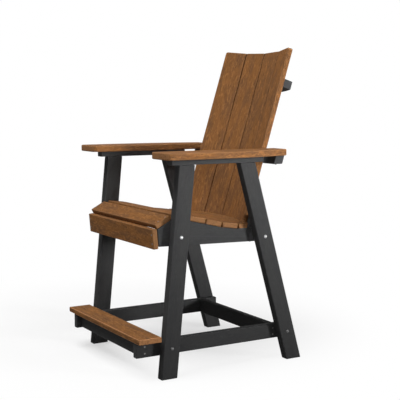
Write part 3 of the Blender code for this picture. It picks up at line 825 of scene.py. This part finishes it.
class CHAIR_OT_bolts(bpy.types.Operator):
    """Make the carriage bolts, with domed heads and threaded ends, and their nuts"""

    bl_idname = "chair.bolts"
    bl_label = "Bolts and nuts"

    def bolt_model(self):
        """A carriage bolt on the Z axis, with the underside of its head on the Z = 0 plane."""
        props = bpy.context.scene.chair_fasteners
        low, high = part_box(BOLTS[0])
        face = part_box("leg_front_left")[1].x
        shank = props.bolt_shank / 2
        root = shank - props.thread_depth
        end = low.x - face
        stations = [(end, root - props.thread_depth), (end + props.thread_depth, root)]
        start = end + props.thread_depth
        for _ in range(int(props.thread_length / props.thread_pitch)):
            stations += [(start + share * props.thread_pitch, shank) for share in THREAD_CREST]
            start += props.thread_pitch
            stations.append((start, root))
        head = (high.y - low.y) / 2
        height = high.x - face
        rim = props.head_rim
        rim_start, underside = BOLT_HEAD_EDGE
        stations += [(start + THREAD_RUNOUT * props.thread_pitch, shank), (0, shank), (0, underside * head),
                     (rim_start * rim, head), (rim, head)]
        return turned("carriage_bolt", stations + dome(rim, head, height - rim, BOLT_DOME_STEPS))

    def nut_model(self):
        """A hexagon nut on the Z axis, with its corners chamfered and the Z = 0 plane through its middle."""
        props = bpy.context.scene.chair_fasteners
        low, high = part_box(NUTS[0])
        size = high - low
        flat = size.y / 2
        corner = size.z / 2
        half = size.x / 2
        face = NUT_FACE * flat
        slope = (corner - face) * tan(NUT_CHAMFER)
        model = turned("hexagon_nut", [(-half, face), (slope - half, corner), (half - slope, corner),
                                       (half, face)])
        bpy.ops.mesh.primitive_cylinder_add(vertices=6, radius=corner, depth=2 * NUT_HEXAGON_REACH * half)
        carve(model, bpy.context.object, "INTERSECT")
        radius = (props.bolt_shank + props.thread_depth) / 2
        reach = NUT_BORE_REACH * half
        carve(model, turned("nut_bore", [(-reach, radius), (reach, radius)]), "DIFFERENCE")
        return model

    def execute(self, context):
        bolt = self.bolt_model()
        nut = self.nut_model()
        seat_steel = steel("steel", "worn_steel")
        # Painted shade: the low stretcher bolts and nuts get darker steel than the seat's, standing for the
        # shaded floor that they reflect.
        painted_shade_steel = steel("screw_steel", "dull_steel")
        for side, way in SIDES.items():
            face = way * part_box("leg_front_left")[1].x
            for node in BOLTS + NUTS:
                if node.endswith(side):
                    place = middle(node)
                    if node in BOLTS:
                        place.x = face
                    model = bolt if node in BOLTS else nut
                    piece = placed_copy(model, f"{node}_steel", place, way * ACROSS)
                    finish_steel(piece, seat_steel if "_seat_" in node else painted_shade_steel)
                    settle(piece, node)
        discard(bolt, nut)
        return {"FINISHED"}


class CHAIR_OT_screws(bpy.types.Operator):
    """Make the countersunk screws of the boards' faces and the round-headed ones under the rails"""

    bl_idname = "chair.screws"
    bl_label = "Screws"

    def drive(self, model, name, places, sink):
        """Copy a screw to its places on one board, and join the copies into one piece."""
        pick(*[placed_copy(model, name, place - sink * normal, normal) for place, normal in places])
        bpy.ops.object.join()
        piece = bpy.context.object
        piece.name = name
        piece.data.name = name
        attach(piece, BODY)

    def execute(self, context):
        countersunk = countersunk_screw()
        pan = pan_screw()
        for node, places in SCREWS.items():
            self.drive(countersunk, f"{node}_screws", places, context.scene.chair_fasteners.screw_sink)
        for node, places in PAN_SCREWS.items():
            self.drive(pan, f"{node}_pan_screws", places, 0)
        discard(countersunk, pan)
        return {"FINISHED"}


class CHAIR_OT_studio(bpy.types.Operator):
    """Set the floor, the light and the camera"""

    bl_idname = "chair.studio"
    bl_label = "Studio"

    def floor(self, props):
        """A pale floor that the camera sees white but for the chair's shadow."""
        bpy.ops.object.select_all(action="DESELECT")
        bpy.ops.mesh.primitive_plane_add(size=props.floor_size)
        floor = bpy.context.object
        floor.name = "floor"
        material = bpy.data.materials.new("floor_paper")
        material.use_nodes = True
        sheet = Sheet(material.node_tree)
        place = sheet.node("ShaderNodeTexCoord", output="Object")
        away = sheet.node("ShaderNodeVectorMath", {"operation": "DISTANCE"},
                          {0: place, 1: props.shadow_place}, "Value")
        edge = sheet.rise(away, SHADOW_CORE * props.shadow_reach, props.shadow_reach)
        share = props.floor_shadow * (1 - edge)
        bounce = sheet.node("ShaderNodeBsdfDiffuse", {}, {"Color": solid([props.floor_bounce] * 3)})
        shaded = sheet.node("ShaderNodeBsdfDiffuse", {}, {"Color": solid(SHADED_FLOOR)})
        paper = sheet.node("ShaderNodeEmission", {}, {"Color": solid(WHITE)})
        seen = sheet.node("ShaderNodeMixShader", {}, {0: share, 1: paper, 2: shaded})
        shader = sheet.node("ShaderNodeMixShader", {}, {0: sheet.background_rays(), 1: bounce, 2: seen})
        sheet.node("ShaderNodeOutputMaterial", {}, {"Surface": shader})
        floor.data.materials.append(material)

    def world(self, props):
        """Even light all round, behind which the camera, metal and glass see white."""
        world = bpy.data.worlds.new("studio")
        bpy.context.scene.world = world
        world.use_nodes = True
        sheet = Sheet(world.node_tree)
        strength = props.ambient + (1 - props.ambient) * sheet.background_rays()
        light = sheet.node("ShaderNodeBackground", {}, {"Color": solid(WHITE), "Strength": strength})
        sheet.node("ShaderNodeOutputWorld", {}, {"Surface": light})

    def softbox(self, name, power, place, aim, size, spread):
        """A square soft lamp that shines from one place towards another."""
        back = Vector(place) - Vector(aim)
        turn = back.to_track_quat("Z", "Y").to_euler()
        bpy.ops.object.light_add(type="AREA", location=place, rotation=turn)
        lamp = bpy.context.object
        lamp.name = name
        lamp.data.energy = power
        lamp.data.size = size
        lamp.data.spread = spread
        lamp.visible_camera = False

    def camera(self, props):
        """The camera that took the photo, found from the chair's straight edges."""
        bpy.ops.object.camera_add(location=props.camera_place, rotation=props.camera_turn)
        camera = bpy.context.object
        camera.data.lens = props.camera_lens
        bpy.context.scene.camera = camera

    def execute(self, context):
        props = context.scene.chair_studio
        self.floor(props)
        self.world(props)
        for lamp in LAMPS:
            settings = [getattr(props, f"{lamp}_{setting}") for setting in LAMP_SETTINGS]
            self.softbox(f"{lamp}_light", *settings)
        self.camera(props)
        context.scene.view_settings.view_transform = "Standard"
        return {"FINISHED"}


OPERATORS = (CHAIR_OT_black_boards, CHAIR_OT_seat, CHAIR_OT_footrest, CHAIR_OT_arms, CHAIR_OT_back,
             CHAIR_OT_bolts, CHAIR_OT_screws, CHAIR_OT_studio)


class CHAIR_PT_looks(bpy.types.Panel):
    """The chair's pieces, finishes and studio"""

    bl_idname = "CHAIR_PT_looks"
    bl_label = "Counter chair"
    bl_space_type = "VIEW_3D"
    bl_region_type = "UI"
    bl_category = "Chair"

    def draw(self, context):
        for operator in OPERATORS:
            self.layout.operator(operator.bl_idname)
        for group in (context.scene.chair_lumber, context.scene.chair_fasteners, context.scene.chair_studio):
            box = self.layout.box()
            for name in group.__annotations__:
                box.prop(group, name)


CLASSES = (LumberProperties, FastenerProperties, StudioProperties) + OPERATORS + (CHAIR_PT_looks,)


def register():
    """Add the classes, and give the scene its three groups of properties."""
    for cls in CLASSES:
        bpy.utils.register_class(cls)
    bpy.types.Scene.chair_lumber = PointerProperty(type=LumberProperties)
    bpy.types.Scene.chair_fasteners = PointerProperty(type=FastenerProperties)
    bpy.types.Scene.chair_studio = PointerProperty(type=StudioProperties)


def unregister():
    """Take the properties and the classes away again."""
    del bpy.types.Scene.chair_lumber
    del bpy.types.Scene.chair_fasteners
    del bpy.types.Scene.chair_studio
    for cls in reversed(CLASSES):
        bpy.utils.unregister_class(cls)


def main():
    """Make the pieces and the studio in order."""
    register()
    bpy.ops.chair.black_boards()
    bpy.ops.chair.seat()
    bpy.ops.chair.footrest()
    bpy.ops.chair.arms()
    bpy.ops.chair.back()
    bpy.ops.chair.bolts()
    bpy.ops.chair.screws()
    bpy.ops.chair.studio()


if __name__ == "__main__":
    main()
